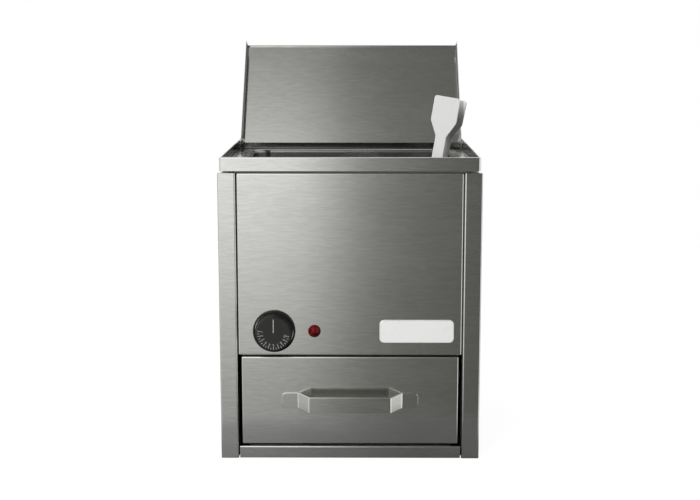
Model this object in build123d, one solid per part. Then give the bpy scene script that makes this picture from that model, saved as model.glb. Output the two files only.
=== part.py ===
from build123d import *
import os
from math import asin, atan2, cos, degrees, radians, sin

# Counter-top bun warmer: a folded steel casing with a heated well on top, under a lid that
# leans back on the rear rim, and a drawer for bread below. Millimetres, +Z up, the front
# faces -Y. The origin is at the middle of the base, on the surface that the warmer stands on.

# Casing
body_width = 365.0
body_depth = 312.0
body_height = 406.3
sheet = 1.2
bend = 2.0
same_place = 0.01
edge_round = 0.9
post_width = 24.7
post_hem = 12.0
rear_return = 16.0
top_flange = 13.5
lap = 24.0

# Front panel and bottom rail
panel_gap = 1.6
panel_bottom = 150.0
panel_corner = 2.0
rail_gap = 1.8
rail_height = 17.8
rail_return = 16.0
rail_hem = 6.0
rail_foot = 14.0

# Base and back
base_upstand = 12.0
back_low = 3.0
back_inset = 3.5
screw_head = 4.0
screw_head_height = 2.4
screw_slot_width = 1.0
screw_slot_depth = 0.8
screw_head_round = 1.2
screw_shank = 2.0
screw_length = 8.0
screw_hole_gap = 0.1
screw_columns = 8.0
screw_rows = 4
screw_margin = 40.0

# Collar with its sunk deck
collar_inset = 2.0
collar_gap = 2.7
collar_height = 19.0
collar_corner = 4.5
collar_inner_corner = 2.3
rim = 4.2
rim_round = 1.8
deck_drop = 15.0
deck_crease = 2.0
frame_bar = 5.5
frame_inset = 9.0

# Pan in the well, a gastronorm half size
pan_length = 325.0
pan_width = 265.0
pan_flange = 12.5
pan_depth = 150.0
pan_sheet = 0.9
pan_bend = 5.0
pan_corner = 24.0
pan_flange_corner = 18.0
pan_taper = 2.0
pan_foot = 14.0
pan_seat = 0.3
pan_clear = 0.6

# Well tank that the pan hangs in
tank_clear = 1.9
tank_depth = 167.0
tank_flange = 6.0
tank_corner = 20.0
tank_foot = 10.0

# Heating element, held to the tank's underside
element_wire = 8.0
element_run = 220.0
element_pitch = 50.0
element_rows = 4
element_tail = 30.0
element_seat = 0.3
clamp_width = 16.0
clamp_thick = 1.5
clamp_corner = 5.0
clamp_spacing = 140.0
clamp_over = 18.0
stud_radius = 2.0
stud_below = 6.0
nut_across = 7.0
nut_height = 3.2
cutout_radius = 12.5
cutout_height = 9.0
cutout_round = 1.5
tag_spacing = 12.0
tag_width = 5.0
tag_thick = 1.0
tag_length = 6.0

# Control knob, thermostat and pilot lamp
knob_x = -106.0
control_z = 185.0
skirt_radius = 29.7
skirt_height = 4.5
skirt_round = 2.0
knob_radius = 26.2
knob_gap = 0.8
knob_face_radius = 23.6
knob_height = 20.0
knob_base = 7.5
knob_edge = 0.6
knob_flutes = 40
flute_radius = 1.0
flute_depth = 0.55
knob_bore_depth = 14.0
shaft_radius = 3.0
shaft_press = 0.02
shaft_run = 0.05
shaft_inside = 18.0
shaft_flat = 1.2
shaft_flat_from = 4.0
shaft_end_gap = 0.5
bushing_radius = 5.0
bushing_ahead = 0.4
bushing_clear = 0.3
thermostat_width = 40.0
thermostat_depth = 32.0
thermostat_corner = 5.0
lamp_x = -49.8
lamp_radius = 8.85
lamp_rim = 1.6
lamp_dome = 7.4
lamp_dome_height = 5.4
lamp_barrel = 6.2
lamp_barrel_length = 30.0
lamp_clear = 0.3
lamp_nut = 17.0
lamp_nut_height = 4.0
lamp_edge = 0.7
lamp_tag_spacing = 6.0
bulb_radius = 3.0
bulb_length = 80.0
bulb_ahead = 30.0
bulb_round = 1.2
bulb_z = 262.0
capillary_radius = 0.8
capillary_bend = 3.0
capillary_drop = 12.0

# Plain badge plate
badge_x = 93.2
badge_z = 184.6
badge_width = 104.0
badge_height = 32.6
badge_corner = 7.0
badge_thick = 2.4
badge_round = 1.0

# Bread drawer and its bay
drawer_side_gap = 5.4
drawer_top_gap = 2.1
drawer_bottom_gap = 3.6
drawer_front_depth = 12.0
drawer_corner = 2.0
box_sheet = 1.0
box_half = 144.0
box_bottom = 20.0
box_headroom = 40.0
box_back = 118.0
box_hem_out = 8.0
box_hem_down = 7.2
box_bend = 1.5
tab_width = 60.0
tab_rise = 18.0
bay_half = 159.0
bay_set_back = 1.0
bay_foot = 10.0
vent_radius = 5.0
vent_pitch = 45.0
vent_columns = (-2, -1, 0, 1, 2)
vent_rows = (-1, 0, 1)
vent_middle = -20.0
runner_lip_gap = 2.5
runner_sheet = 1.0
runner_gap = 0.3
runner_head = 1.5
runner_set_back = 40.0
runner_back_gap = 14.0
stop_setback = 36.0
stop_foot = 14.0
stop_catch = 6.0

# Drawer handle, one bent strip
handle_length = 191.6
handle_tab = 23.0
handle_arm = 15.5
handle_reach = 27.5
handle_strip = 22.0
handle_thick = 2.5
handle_bend = 4.0
handle_corner = 6.0
handle_edge = 0.5
handle_z = 85.0

# Lid, built shut and then leant back
lid_half_width = 174.3
lid_length = 205.5
lid_depth = 20.0
lid_hem = 3.0
lid_lip = 3.0
lid_tip_round = 8.0
lid_cut_back = 11.0
lid_hem_short = 10.0
lid_lean = 39.5
pivot_rise = 12.0
lid_rest = 0.3
pivot_stud_radius = 2.0
pivot_run = 0.06
pivot_fit = 0.02
pivot_nut_across = 7.0
pivot_nut_height = 4.2
pivot_nut_cap = 1.0
pivot_nut_dome = 5.2
pivot_washer_radius = 4.5

# Tongs that stand in the pan
tongs_length = 243.0
tongs_strip = 15.6
tongs_thick = 2.6
tongs_blade = 37.5
tongs_blade_length = 35.0
tongs_shoulder = 21.0
tongs_corner = 4.0
tongs_flow = 8.0
tongs_edge = 0.7
tongs_half_gap = 7.0
tongs_spread = 3.0
tongs_turn = -19.0
tongs_back_lean = 5.0
tongs_side_lean = 10.6
tongs_x = 98.5
tongs_y = -96.0
tongs_seat = 0.4
tongs_joint_gap = 0.3
tongs_closed_gap = 1.0

# Wiring inside
gland_x = 130.0
gland_z = 190.0
gland_thread = 8.0
gland_flange = 11.0
gland_bore = 4.0
gland_outside = 16.0
gland_inside = 9.0
gland_hex = 5.0
gland_cone_low = 9.5
gland_cone_high = 6.0
gland_nut_height = 4.0
block_x = 95.0
block_y = 107.0
block_poles = 3
block_pitch = 12.0
block_depth = 22.0
block_height = 10.0
tower_width = 8.4
tower_depth = 14.0
tower_rise = 7.0
tower_corner = 1.5
tower_hole = 2.0
tower_hole_depth = 3.0
earth_x = 92.0
earth_z = 200.0
earth_radius = 2.5
earth_length = 14.0
earth_nut_across = 8.0
earth_nut_height = 4.0

# Levels and places that follow from the sizes above
half_width = body_width / 2
front = -body_depth / 2
back = body_depth / 2
post_edge = half_width - post_width
panel_half = post_edge - panel_gap
rail_half = post_edge - rail_gap
drawer_half = post_edge - drawer_side_gap
drawer_top = panel_bottom - drawer_top_gap
drawer_low = rail_height + drawer_bottom_gap
box_top = panel_bottom - box_headroom
collar_low = body_height + collar_gap
collar_top = collar_low + collar_height
collar_half = half_width - collar_inset
collar_back = back - collar_inset
deck_top = collar_top - deck_drop
deck_low = deck_top - sheet
rim_inside = collar_half - rim
rim_back = collar_back - rim
frame_half = half_width - frame_inset
frame_back = back - frame_inset
pan_opening_x = pan_length / 2 - pan_flange
pan_opening_y = pan_width / 2 - pan_flange
pan_low = deck_top + pan_seat
pan_top = pan_low + pan_sheet
pan_floor = pan_top - pan_depth + pan_sheet
deck_hole_x = pan_opening_x + pan_bend + pan_clear
deck_hole_y = pan_opening_y + pan_bend + pan_clear
tank_half_x = deck_hole_x + tank_clear + sheet
tank_half_y = deck_hole_y + tank_clear + sheet
tank_low = deck_low - tank_depth
element_z = tank_low - element_seat - element_wire / 2
clamp_top = element_z - element_wire / 2 - element_seat
bay_front = front + rail_return + bay_set_back
stop_face = bay_front + stop_setback - stop_foot
drawer_travel = box_back - stop_face - 2 * box_sheet - runner_gap
runner_low = box_top - box_hem_down - runner_gap - runner_sheet
runner_top = box_top + runner_head + runner_sheet
bay_wall = bay_half - sheet
pivot_z = deck_top + lid_rest + pivot_rise
shut_angle = 90 + lid_lean
rim_edge_y = rim_back + rim_round
rim_edge_z = collar_top - rim_round
plate_out = lid_depth - pivot_rise
lean = radians(lid_lean)
pivot_y = rim_edge_y - (rim_round + lid_rest + plate_out + (rim_edge_z - pivot_z) * sin(lean)) / cos(lean)
pivot_back = (pivot_rise - plate_out * sin(lean)) / cos(lean)


def folded(points, thickness=sheet, radius=bend):
    """Section of a folded sheet: its skin runs along the points, its metal lies to the left."""
    skin = FilletPolyline(*points, radius=radius)
    return make_face(offset(skin, amount=thickness, side=Side.LEFT))


def run_up(section, low, high):
    """Extrude a section drawn in X and Y."""
    return extrude(Pos(0, 0, low) * section, amount=high - low)


def run_along_x(section, low, high):
    """Extrude a section drawn in Y and Z."""
    plane = Plane((low, 0, 0), x_dir=(0, 1, 0), z_dir=(1, 0, 0))
    return extrude(plane * section, amount=high - low)


def run_along_y(section, low, high):
    """Extrude a section drawn in X and Z."""
    plane = Plane((0, high, 0), x_dir=(1, 0, 0), z_dir=(0, -1, 0))
    return extrude(plane * section, amount=high - low)


def block(low, high):
    """A box between two corners."""
    size = [high[i] - low[i] for i in range(3)]
    middle = [(high[i] + low[i]) / 2 for i in range(3)]
    return Pos(*middle) * Box(*size)


def out_of_front(x, z, y=front):
    """Place at a point of the front, with local +Z pointing out and local +Y up."""
    return Pos(x, y, z) * Rot(X=90)


def out_of_back(x, z, y=back):
    """Place at a point of the back, with local +Z pointing out."""
    return Pos(x, y, z) * Rot(X=-90)


def rounded(width, depth, corner, low, high):
    """An upright block with rounded corners."""
    return run_up(RectangleRounded(width, depth, corner), low, high)


def level_edges(shape, level, half_x, half_y):
    """The edges at one level whose middles lie within a rectangle round the origin."""
    return [edge for edge in shape.edges().filter_by_position(Axis.Z, level - same_place, level + same_place)
            if abs(edge.center().X) < half_x + same_place and abs(edge.center().Y) < half_y + same_place]


def pressed_tray(half, low, high, depth, corner):
    """A tray pressed from one sheet, open at the back, with its face on the front plane."""
    solid = block((-half, front, low), (half, front + depth, high))
    face = solid.faces().sort_by(Axis.Y)[0]
    sides = solid.edges().filter_by(Axis.Y)
    solid = fillet(sides + face.edges(), corner)
    return offset(solid, amount=-sheet, openings=solid.faces().sort_by(Axis.Y)[-1])


def screw_places():
    """Middles of the screws that hold the back panel, in two columns."""
    step = (body_height - 2 * screw_margin) / (screw_rows - 1)
    x = half_width - screw_columns
    return [(side * x, screw_margin + step * row) for side in (-1, 1) for row in range(screw_rows)]


def side_panel(side):
    """One side of the casing with its front post, rear return and top flange."""
    plan = folded([
        (-half_width + rear_return, back),
        (-half_width, back),
        (-half_width, front),
        (-post_edge, front),
        (-post_edge, front + post_hem),
    ])
    panel = run_up(plan, 0, body_height)
    flange_low = (-half_width + sheet / 2, front + 2 * bend, body_height - sheet)
    flange_high = (-half_width + top_flange, back - 2 * bend, body_height)
    panel += block(flange_low, flange_high)
    outer_edge = panel.edges().filter_by(Axis.Y).sort_by(Axis.X)[:8].sort_by(Axis.Z)[-1]
    panel = fillet(outer_edge, edge_round)
    for x, z in screw_places():
        if x < 0:
            panel -= out_of_back(x, z) * Cylinder(screw_shank + screw_hole_gap, 4 * sheet)
    return panel if side < 0 else mirror(panel, Plane.YZ)


def front_panel():
    """The smooth upper panel, pressed as a shallow tray, with side laps behind the posts."""
    depth = post_hem + sheet
    panel = pressed_tray(panel_half, panel_bottom, body_height, depth, panel_corner)
    for side in (-1, 1):
        inner = side * (panel_half - sheet / 2)
        outer = side * (panel_half + lap)
        low = (min(inner, outer), front + post_hem, panel_bottom + 2 * panel_corner)
        high = (max(inner, outer), front + depth, body_height - 3 * sheet)
        panel += block(low, high)
    hole = Cylinder(bushing_radius + bushing_clear, 8 * sheet)
    panel -= out_of_front(knob_x, control_z) * hole
    panel -= out_of_front(lamp_x, control_z) * Cylinder(lamp_barrel + lamp_clear, 8 * sheet)
    return panel


def bottom_rail():
    """The folded rail under the drawer."""
    section = folded([
        (front + rail_return, rail_height - rail_hem),
        (front + rail_return, rail_height),
        (front, rail_height),
        (front, 0),
        (front + rail_foot, 0),
    ])
    return run_along_x(section, -rail_half, rail_half)


def base_plate():
    """The floor of the casing, turned up along both sides."""
    inside = half_width - sheet
    section = folded([(-inside, base_upstand), (-inside, 0), (inside, 0), (inside, base_upstand)])
    return run_along_y(section, front + rail_foot, back - 2 * sheet)


def back_panel():
    """The screwed back, with a flange under the deck frame and the gland's hole."""
    face = back - sheet
    flange_end = back - top_flange
    section = folded([(face, back_low), (face, body_height), (flange_end, body_height)])
    middle = half_width - top_flange - bend
    panel = run_along_x(section, -middle, middle)
    wing_low = (-half_width + back_inset, face - sheet, back_low)
    wing_high = (half_width - back_inset, face, body_height - 3 * sheet)
    panel += block(wing_low, wing_high)
    for x, z in screw_places():
        panel -= out_of_back(x, z) * Cylinder(screw_shank + screw_hole_gap, 6 * sheet)
    panel -= out_of_back(gland_x, gland_z) * Cylinder(gland_thread + screw_hole_gap, 6 * sheet)
    return panel


def back_screws():
    """Pan-head screws through the rear returns into the back."""
    head = Cylinder(screw_head, screw_head_height)
    head = fillet(head.faces().sort_by(Axis.Z)[-1].edges(), screw_head_round)
    head = Pos(0, 0, screw_head_height / 2) * head
    shank = Pos(0, 0, -screw_length / 2) * Cylinder(screw_shank, screw_length)
    slot = Pos(0, 0, screw_head_height) * Box(2 * screw_head, screw_slot_width, 2 * screw_slot_depth)
    screw = head + shank - slot
    return Compound(children=[out_of_back(x, z) * screw for x, z in screw_places()])


def top_collar():
    """The rim and the sunk deck, folded from one sheet, with the pan's opening."""
    width, depth = 2 * collar_half, 2 * collar_back
    collar = rounded(width, depth, collar_corner, collar_low, collar_top)
    collar = fillet(collar.faces().sort_by(Axis.Z)[-1].edges(), rim_round)
    inner_corner = collar_corner - rim + collar_inner_corner
    well = rounded(2 * rim_inside, 2 * rim_back, inner_corner, deck_top, collar_top + 1)
    well = fillet(well.faces().sort_by(Axis.Z)[0].edges(), deck_crease)
    collar -= well
    mouth = level_edges(collar, collar_top, rim_inside, rim_back)
    collar = fillet(mouth, rim_round)
    skirt_inside = rounded(width - 2 * sheet, depth - 2 * sheet, collar_corner - sheet,
                           collar_low - 1, collar_top - sheet - rim_round / 2)
    wall_outside = rounded(2 * (rim_inside + sheet), 2 * (rim_back + sheet), inner_corner + sheet,
                           collar_low - 1, collar_top)
    collar -= skirt_inside - wall_outside
    under_deck = rounded(2 * rim_inside, 2 * rim_back, inner_corner, collar_low - 1, deck_low)
    collar -= under_deck
    below = rounded(width - 2 * sheet, depth - 2 * sheet, collar_corner - sheet,
                    collar_low - 1, deck_low)
    collar -= below
    opening = rounded(2 * deck_hole_x, 2 * deck_hole_y, pan_corner + pan_bend,
                      deck_low - 1, deck_top + 1)
    return collar - opening


def deck_frame():
    """A ring of square bar between the casing's top flanges and the deck."""
    outer = Rectangle(2 * frame_half, 2 * frame_back)
    inner = Rectangle(2 * (frame_half - frame_bar), 2 * (frame_back - frame_bar))
    return run_up(outer - inner, body_height, deck_low)


def well_tank():
    """The heated tank under the deck, pressed with rounded corners and a flange."""
    tank = rounded(2 * tank_half_x, 2 * tank_half_y, tank_corner, tank_low, deck_low)
    tank = fillet(tank.faces().sort_by(Axis.Z)[0].edges(), tank_foot)
    tank = offset(tank, amount=-sheet, openings=tank.faces().sort_by(Axis.Z)[-1])
    collar = rounded(2 * (tank_half_x + tank_flange), 2 * (tank_half_y + tank_flange),
                     tank_corner + tank_flange, deck_low - sheet, deck_low)
    collar -= rounded(2 * tank_half_x - sheet, 2 * tank_half_y - sheet, tank_corner,
                      deck_low - 2 * sheet, deck_low + sheet)
    return tank + collar


def food_pan():
    """The lift-out pan: tapered walls, a round foot and a flange that lies on the deck."""
    half_x = pan_opening_x + pan_sheet
    half_y = pan_opening_y + pan_sheet
    outline = Pos(0, 0, pan_low + pan_sheet / 2) * RectangleRounded(2 * half_x, 2 * half_y, pan_corner)
    wall = extrude(outline, amount=-(pan_depth - pan_sheet / 2), taper=pan_taper)
    wall = fillet(wall.faces().sort_by(Axis.Z)[0].edges(), pan_foot)
    flange = rounded(pan_length, pan_width, pan_flange_corner, pan_low, pan_top)
    pan = wall + flange
    neck = level_edges(pan, pan_low, half_x, half_y)
    pan = fillet(neck, pan_bend - pan_sheet)
    mouth = RectangleRounded(2 * pan_opening_x, 2 * pan_opening_y, pan_corner - pan_sheet)
    cavity = extrude(Pos(0, 0, pan_top) * mouth, amount=-(pan_depth - pan_sheet), taper=pan_taper)
    cavity = fillet(cavity.faces().sort_by(Axis.Z)[0].edges(), pan_foot - pan_sheet)
    pan -= cavity
    lip = level_edges(pan, pan_top, pan_opening_x, pan_opening_y)
    return fillet(lip, pan_bend)


def element_row(row):
    """Distance of one run of the element from the middle, towards the back."""
    return (row - (element_rows - 1) / 2) * element_pitch


def heating_element():
    """A tubular element bent to and fro under the tank."""
    end = element_run / 2
    turn = element_pitch / 2
    path = []
    for row in range(element_rows):
        y = element_row(row)
        way = 1 if row % 2 == 0 else -1
        start = -end * way - (element_tail if row == 0 else 0)
        stop = end * way + (-element_tail if row == element_rows - 1 else 0)
        path.append(Line((start, y, element_z), (stop, y, element_z)))
        if row < element_rows - 1:
            far = end * way
            path.append(ThreePointArc((far, y, element_z), (far + way * turn, y + turn, element_z),
                                      (far, y + element_pitch, element_z)))
    tube = Wire(path)
    return sweep(Plane(tube @ 0, z_dir=tube % 0) * Circle(element_wire / 2), path=tube)


def clamp_places():
    """Middles of the studs that hold the clamps."""
    reach = element_row(element_rows - 1) + clamp_over
    return [(x, y) for x in (-clamp_spacing / 2, clamp_spacing / 2) for y in (-reach, reach)]


def element_clamps():
    """Two straps that press the element against the tank."""
    reach = element_row(element_rows - 1) + clamp_over
    strap = Box(clamp_width, 2 * reach + clamp_width, clamp_thick)
    strap = fillet(strap.edges().filter_by(Axis.Z), clamp_corner)
    straps = []
    for x in (-clamp_spacing / 2, clamp_spacing / 2):
        one = Pos(x, 0, clamp_top - clamp_thick / 2) * strap
        for y in (-reach, reach):
            one -= Pos(x, y, clamp_top) * Cylinder(stud_radius + screw_hole_gap, 4 * clamp_thick)
        straps.append(one)
    return Compound(children=straps)


def hexagon(across):
    """A hexagon by its width across flats."""
    return RegularPolygon(across / 2, 6, major_radius=False)


def clamp_studs():
    """Studs welded to the tank, each with its nut under the strap."""
    studs = []
    low = clamp_top - clamp_thick
    for x, y in clamp_places():
        stud = run_up(Pos(x, y) * Circle(stud_radius), low - stud_below, tank_low)
        stud += run_up(Pos(x, y) * hexagon(nut_across), low - nut_height, low)
        studs.append(stud)
    return Compound(children=studs)


def overheat_cutout():
    """A round safety thermostat on the tank's underside, between the element's runs."""
    can = run_up(Circle(cutout_radius), tank_low - cutout_height, tank_low)
    can = fillet(can.faces().sort_by(Axis.Z)[0].edges(), cutout_round)
    can_low = tank_low - cutout_height
    for x in (-tag_spacing / 2, tag_spacing / 2):
        can += run_up(Pos(x, 0) * Rectangle(tag_thick, tag_width), can_low - tag_length, can_low)
    return can


def knob_skirt():
    """The fixed ring round the knob."""
    ring = Cylinder(skirt_radius, skirt_height)
    ring = fillet(ring.faces().sort_by(Axis.Z)[-1].edges(), skirt_round)
    ring -= Cylinder(knob_radius + knob_gap, 2 * skirt_height)
    return out_of_front(knob_x, control_z) * Pos(0, 0, skirt_height / 2) * ring


def control_knob():
    """The turned knob, fluted round its sloping side, with a flat dial face."""
    profile = Polyline(
        (0, knob_gap),
        (knob_radius, knob_gap),
        (knob_radius, knob_base),
        (knob_face_radius, knob_height),
        (0, knob_height),
        close=True,
    )
    knob = revolve(Plane.XZ * make_face(profile), Axis.Z)
    knob = fillet(knob.faces().sort_by(Axis.Z)[-1].edges(), knob_edge)
    slope_x = knob_radius - knob_face_radius
    slope_z = knob_height - knob_base
    tilt = degrees(atan2(slope_x, slope_z))
    middle = (knob_radius + knob_face_radius) / 2 + flute_radius - flute_depth
    flute = Rot(Y=-tilt) * Cylinder(flute_radius, slope_z)
    flute = Pos(middle, 0, (knob_base + knob_height) / 2) * flute
    knob = knob - [Rot(Z=360 / knob_flutes * turn) * flute for turn in range(knob_flutes)]
    knob -= Pos(0, 0, knob_bore_depth / 2) * Cylinder(shaft_radius + shaft_press, knob_bore_depth)
    return out_of_front(knob_x, control_z) * knob


def thermostat_shaft():
    """The D-shaped shaft that the knob turns."""
    end = knob_bore_depth - shaft_end_gap
    length = end + shaft_inside
    shaft = Pos(0, 0, end - length / 2) * Cylinder(shaft_radius, length)
    flat_low = (shaft_radius - shaft_flat, -shaft_radius, shaft_flat_from)
    shaft -= block(flat_low, (2 * shaft_radius, shaft_radius, knob_bore_depth))
    return out_of_front(knob_x, control_z) * shaft


def thermostat_body():
    """The thermostat behind the front panel, with the bushing that guides the shaft."""
    case = extrude(RectangleRounded(thermostat_width, thermostat_width, thermostat_corner),
                   amount=thermostat_depth)
    case = Pos(0, 0, -sheet - thermostat_depth) * case
    case += run_up(Circle(bushing_radius), -2 * sheet, bushing_ahead)
    case -= run_up(Circle(shaft_radius + shaft_run), -shaft_inside - shaft_end_gap, knob_height)
    return out_of_front(knob_x, control_z) * case


def sensor_capillary():
    """The sensor bulb on the tank's front wall and the fine tube down to the thermostat."""
    y = -tank_half_y - element_seat - bulb_radius
    top_of_body = control_z + thermostat_width / 2
    bulb_end = knob_x + bulb_ahead
    bulb = Rot(Y=90) * Cylinder(bulb_radius, bulb_length)
    bulb = fillet(bulb.edges().filter_by(GeomType.CIRCLE), bulb_round)
    bulb = Pos(bulb_end + bulb_length / 2, y, bulb_z) * bulb
    entry = front + sheet + thermostat_depth / 2
    turn = top_of_body + capillary_drop
    path = FilletPolyline(
        (bulb_end + bulb_round, y, bulb_z), (knob_x, y, bulb_z), (knob_x, y, turn),
        (knob_x, entry, turn), (knob_x, entry, top_of_body),
        radius=capillary_bend,
    )
    tube = sweep(Plane(path @ 0, z_dir=path % 0) * Circle(capillary_radius), path=path)
    return bulb + tube


def pilot_lens():
    """The lamp's domed lens with its rim."""
    ball = (lamp_dome ** 2 + lamp_dome_height ** 2) / (2 * lamp_dome_height)
    top = lamp_rim + lamp_dome_height
    cap = Pos(0, 0, top - ball) * Sphere(ball)
    cap &= run_up(Circle(lamp_radius), lamp_rim, top)
    rim_disc = Pos(0, 0, lamp_rim / 2) * Cylinder(lamp_radius, lamp_rim)
    rim_disc = fillet(rim_disc.faces().sort_by(Axis.Z)[-1].edges(), lamp_edge)
    return out_of_front(lamp_x, control_z) * (rim_disc + cap)


def pilot_holder():
    """The lamp's threaded barrel through the panel, with its nut behind."""
    holder = Pos(0, 0, -lamp_barrel_length / 2) * Cylinder(lamp_barrel, lamp_barrel_length)
    holder += extrude(Pos(0, 0, -sheet - lamp_nut_height) * hexagon(lamp_nut), amount=lamp_nut_height)
    for x in (-lamp_tag_spacing / 2, lamp_tag_spacing / 2):
        tag = Pos(x, 0) * Rectangle(tag_thick, tag_width)
        holder += run_up(tag, -lamp_barrel_length - tag_length, -lamp_barrel_length)
    return out_of_front(lamp_x, control_z) * holder


def badge_plate():
    """A plain plate with rounded corners."""
    plate = extrude(RectangleRounded(badge_width, badge_height, badge_corner), amount=badge_thick)
    plate = fillet(plate.faces().sort_by(Axis.Z)[-1].edges(), badge_round)
    return out_of_front(badge_x, badge_z) * plate


def drawer_front():
    """The drawer's front, a shallow tray like the panel above it."""
    return pressed_tray(drawer_half, drawer_low, drawer_top, drawer_front_depth, drawer_corner)


def drawer_box():
    """The drawer's folded box with side hems that ride in the runners and a rear tab."""
    inside = box_half - box_sheet
    hem = box_half + box_hem_out
    hem_low = box_top - box_hem_down
    floor = box_bottom + box_sheet
    trough = folded([
        (hem, hem_low), (hem, box_top), (inside, box_top), (inside, floor),
        (-inside, floor), (-inside, box_top), (-hem, box_top), (-hem, hem_low),
    ], thickness=box_sheet, radius=box_bend)
    box_front = front + drawer_front_depth
    box = run_along_y(trough, box_front, box_back)
    middle = Pos(0, (box_bottom + box_top) / 2)
    wall = middle * Rectangle(2 * box_half - box_sheet, box_top - box_bottom - box_sheet)
    tab = Pos(0, box_top) * RectangleRounded(tab_width, 2 * tab_rise, drawer_corner)
    tab &= Pos(0, box_top) * Rectangle(2 * tab_width, 2 * tab_rise)
    box += run_along_y(wall + tab, box_back - box_sheet, box_back)
    return box + run_along_y(wall, box_front, box_front + box_sheet)


def drawer_handle():
    """The bent strip: two flat tabs, two slanting arms and a straight grip."""
    tab_end = handle_length / 2
    arm_foot = tab_end - handle_tab
    arm_head = arm_foot - handle_arm
    reach = front - handle_reach
    foot = front - handle_thick
    section = folded([
        (-tab_end, foot), (-arm_foot, foot), (-arm_head, reach),
        (arm_head, reach), (arm_foot, foot), (tab_end, foot),
    ], thickness=handle_thick, radius=handle_bend)
    strip = run_up(section, handle_z - handle_strip / 2, handle_z + handle_strip / 2)
    ends = [edge for edge in strip.edges().filter_by(Axis.Y)
            if abs(edge.center().X) > tab_end - same_place]
    strip = fillet(ends, handle_corner)
    long_edges = [edge for edge in strip.edges().filter_by(Axis.Y, reverse=True)
                  if abs(abs(edge.center().Z - handle_z) - handle_strip / 2) < same_place
                  and edge.center().Y < foot + same_place]
    return fillet(long_edges, handle_edge)


def drawer_bay():
    """The liner round the drawer, open in front, with warm-air holes in its roof."""
    foot = bay_half + bay_foot
    section = folded([
        (foot, sheet * 2), (bay_half, sheet * 2), (bay_half, panel_bottom),
        (-bay_half, panel_bottom), (-bay_half, sheet * 2), (-foot, sheet * 2),
    ])
    bay = run_along_y(section, bay_front, back - 2 * sheet)
    for column in vent_columns:
        for row in vent_rows:
            place = Pos(column * vent_pitch, vent_middle + row * vent_pitch, panel_bottom)
            bay -= place * Cylinder(vent_radius, 4 * sheet)
    return bay


def drawer_runner(side):
    """One channel on the bay's wall."""
    lip = -box_half - runner_lip_gap
    section = folded([
        (lip, runner_top), (-bay_wall, runner_top), (-bay_wall, runner_low), (lip, runner_low),
    ], thickness=runner_sheet, radius=box_bend)
    runner = run_along_y(section, bay_front + runner_set_back, back - runner_back_gap)
    return runner if side < 0 else mirror(runner, Plane.YZ)


def drawer_stop():
    """An angle under the bay's roof that catches the drawer's rear tab."""
    foot = panel_bottom - sheet
    low = box_top + tab_rise - stop_catch
    section = folded([
        (stop_face + stop_foot, foot), (stop_face, foot), (stop_face, low),
    ], thickness=box_sheet, radius=box_bend)
    return run_along_x(section, -tab_width / 2, tab_width / 2)


def lid_panel():
    """The lid: a plate with deep hemmed sides and a short front lip, leant back on the rim."""
    low = pivot_z - pivot_rise
    high = low + lid_depth
    rear = pivot_y + pivot_back
    tip = rear - lid_length
    hem_end = lid_half_width - lid_hem
    section = folded([
        (hem_end, low), (lid_half_width, low), (lid_half_width, high),
        (-lid_half_width, high), (-lid_half_width, low), (-hem_end, low),
    ])
    lid = run_along_y(section, tip, rear)
    inside = lid_half_width - sheet
    lip_low = (-inside - sheet / 2, tip, high - lid_lip)
    lip_high = (inside + sheet / 2, tip + sheet, high - sheet / 2)
    lid += block(lip_low, lip_high)
    lid -= block((-inside, rear - lid_cut_back, high - lid_depth / 2), (inside, rear, high))
    heel = block((-lid_half_width, pivot_y, low), (lid_half_width, rear, pivot_z))
    heel -= Pos(0, pivot_y, pivot_z) * Rot(Y=90) * Cylinder(pivot_rise, 2 * body_width)
    lid -= heel
    hem_top = low + sheet + bend
    lid -= block((-inside, tip, low), (inside, tip + lid_hem_short, hem_top))
    lid -= block((-inside, pivot_y - lid_hem, low), (inside, rear, hem_top))
    tips = block((-lid_half_width, tip, low), (lid_half_width, tip + lid_tip_round, low + lid_tip_round))
    tips -= Pos(0, tip + lid_tip_round, low + lid_tip_round) * Rot(Y=90) * Cylinder(lid_tip_round, body_width)
    lid -= tips
    lip_edge = lid.edges().filter_by(Axis.X).sort_by(Axis.Y)[:6].sort_by(Axis.Z)[-1]
    lid = fillet(lip_edge, edge_round)
    hole = Cylinder(pivot_stud_radius + pivot_run, 3 * body_width)
    lid -= Pos(0, pivot_y, pivot_z) * Rot(Y=90) * hole
    return Pos(0, pivot_y, pivot_z) * Rot(X=-shut_angle) * Pos(0, -pivot_y, -pivot_z) * lid


def both_sides(piece):
    """A piece and its mirror image, as two solids."""
    return Compound(children=[piece, mirror(piece, Plane.YZ)])


def pivot_studs():
    """Studs welded inside the rim that the lid turns on."""
    inner_end = lid_half_width - sheet - lid_rest - pivot_nut_height + pivot_nut_cap + pivot_fit
    stud = Rot(Y=90) * Cylinder(pivot_stud_radius, rim_inside - inner_end)
    return both_sides(Pos((rim_inside + inner_end) / 2, pivot_y, pivot_z) * stud)


def pivot_washers():
    """Spacers between the rim and the lid's sides."""
    thick = rim_inside - lid_half_width - lid_rest
    washer = Cylinder(pivot_washer_radius, thick)
    washer -= Cylinder(pivot_stud_radius + pivot_fit, 2 * thick)
    return both_sides(Pos(rim_inside - thick / 2, pivot_y, pivot_z) * Rot(Y=90) * washer)


def pivot_nuts():
    """Domed nuts on the studs, inside the lid's sides."""
    outer = lid_half_width - sheet - lid_rest
    nut = extrude(hexagon(pivot_nut_across), amount=pivot_nut_height)
    nut &= Pos(0, 0, pivot_nut_height - pivot_nut_dome) * Sphere(pivot_nut_dome)
    nut -= Cylinder(pivot_stud_radius + pivot_fit, 2 * (pivot_nut_height - pivot_nut_cap))
    return both_sides(Pos(outer, pivot_y, pivot_z) * Rot(Y=-90) * nut)


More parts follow.
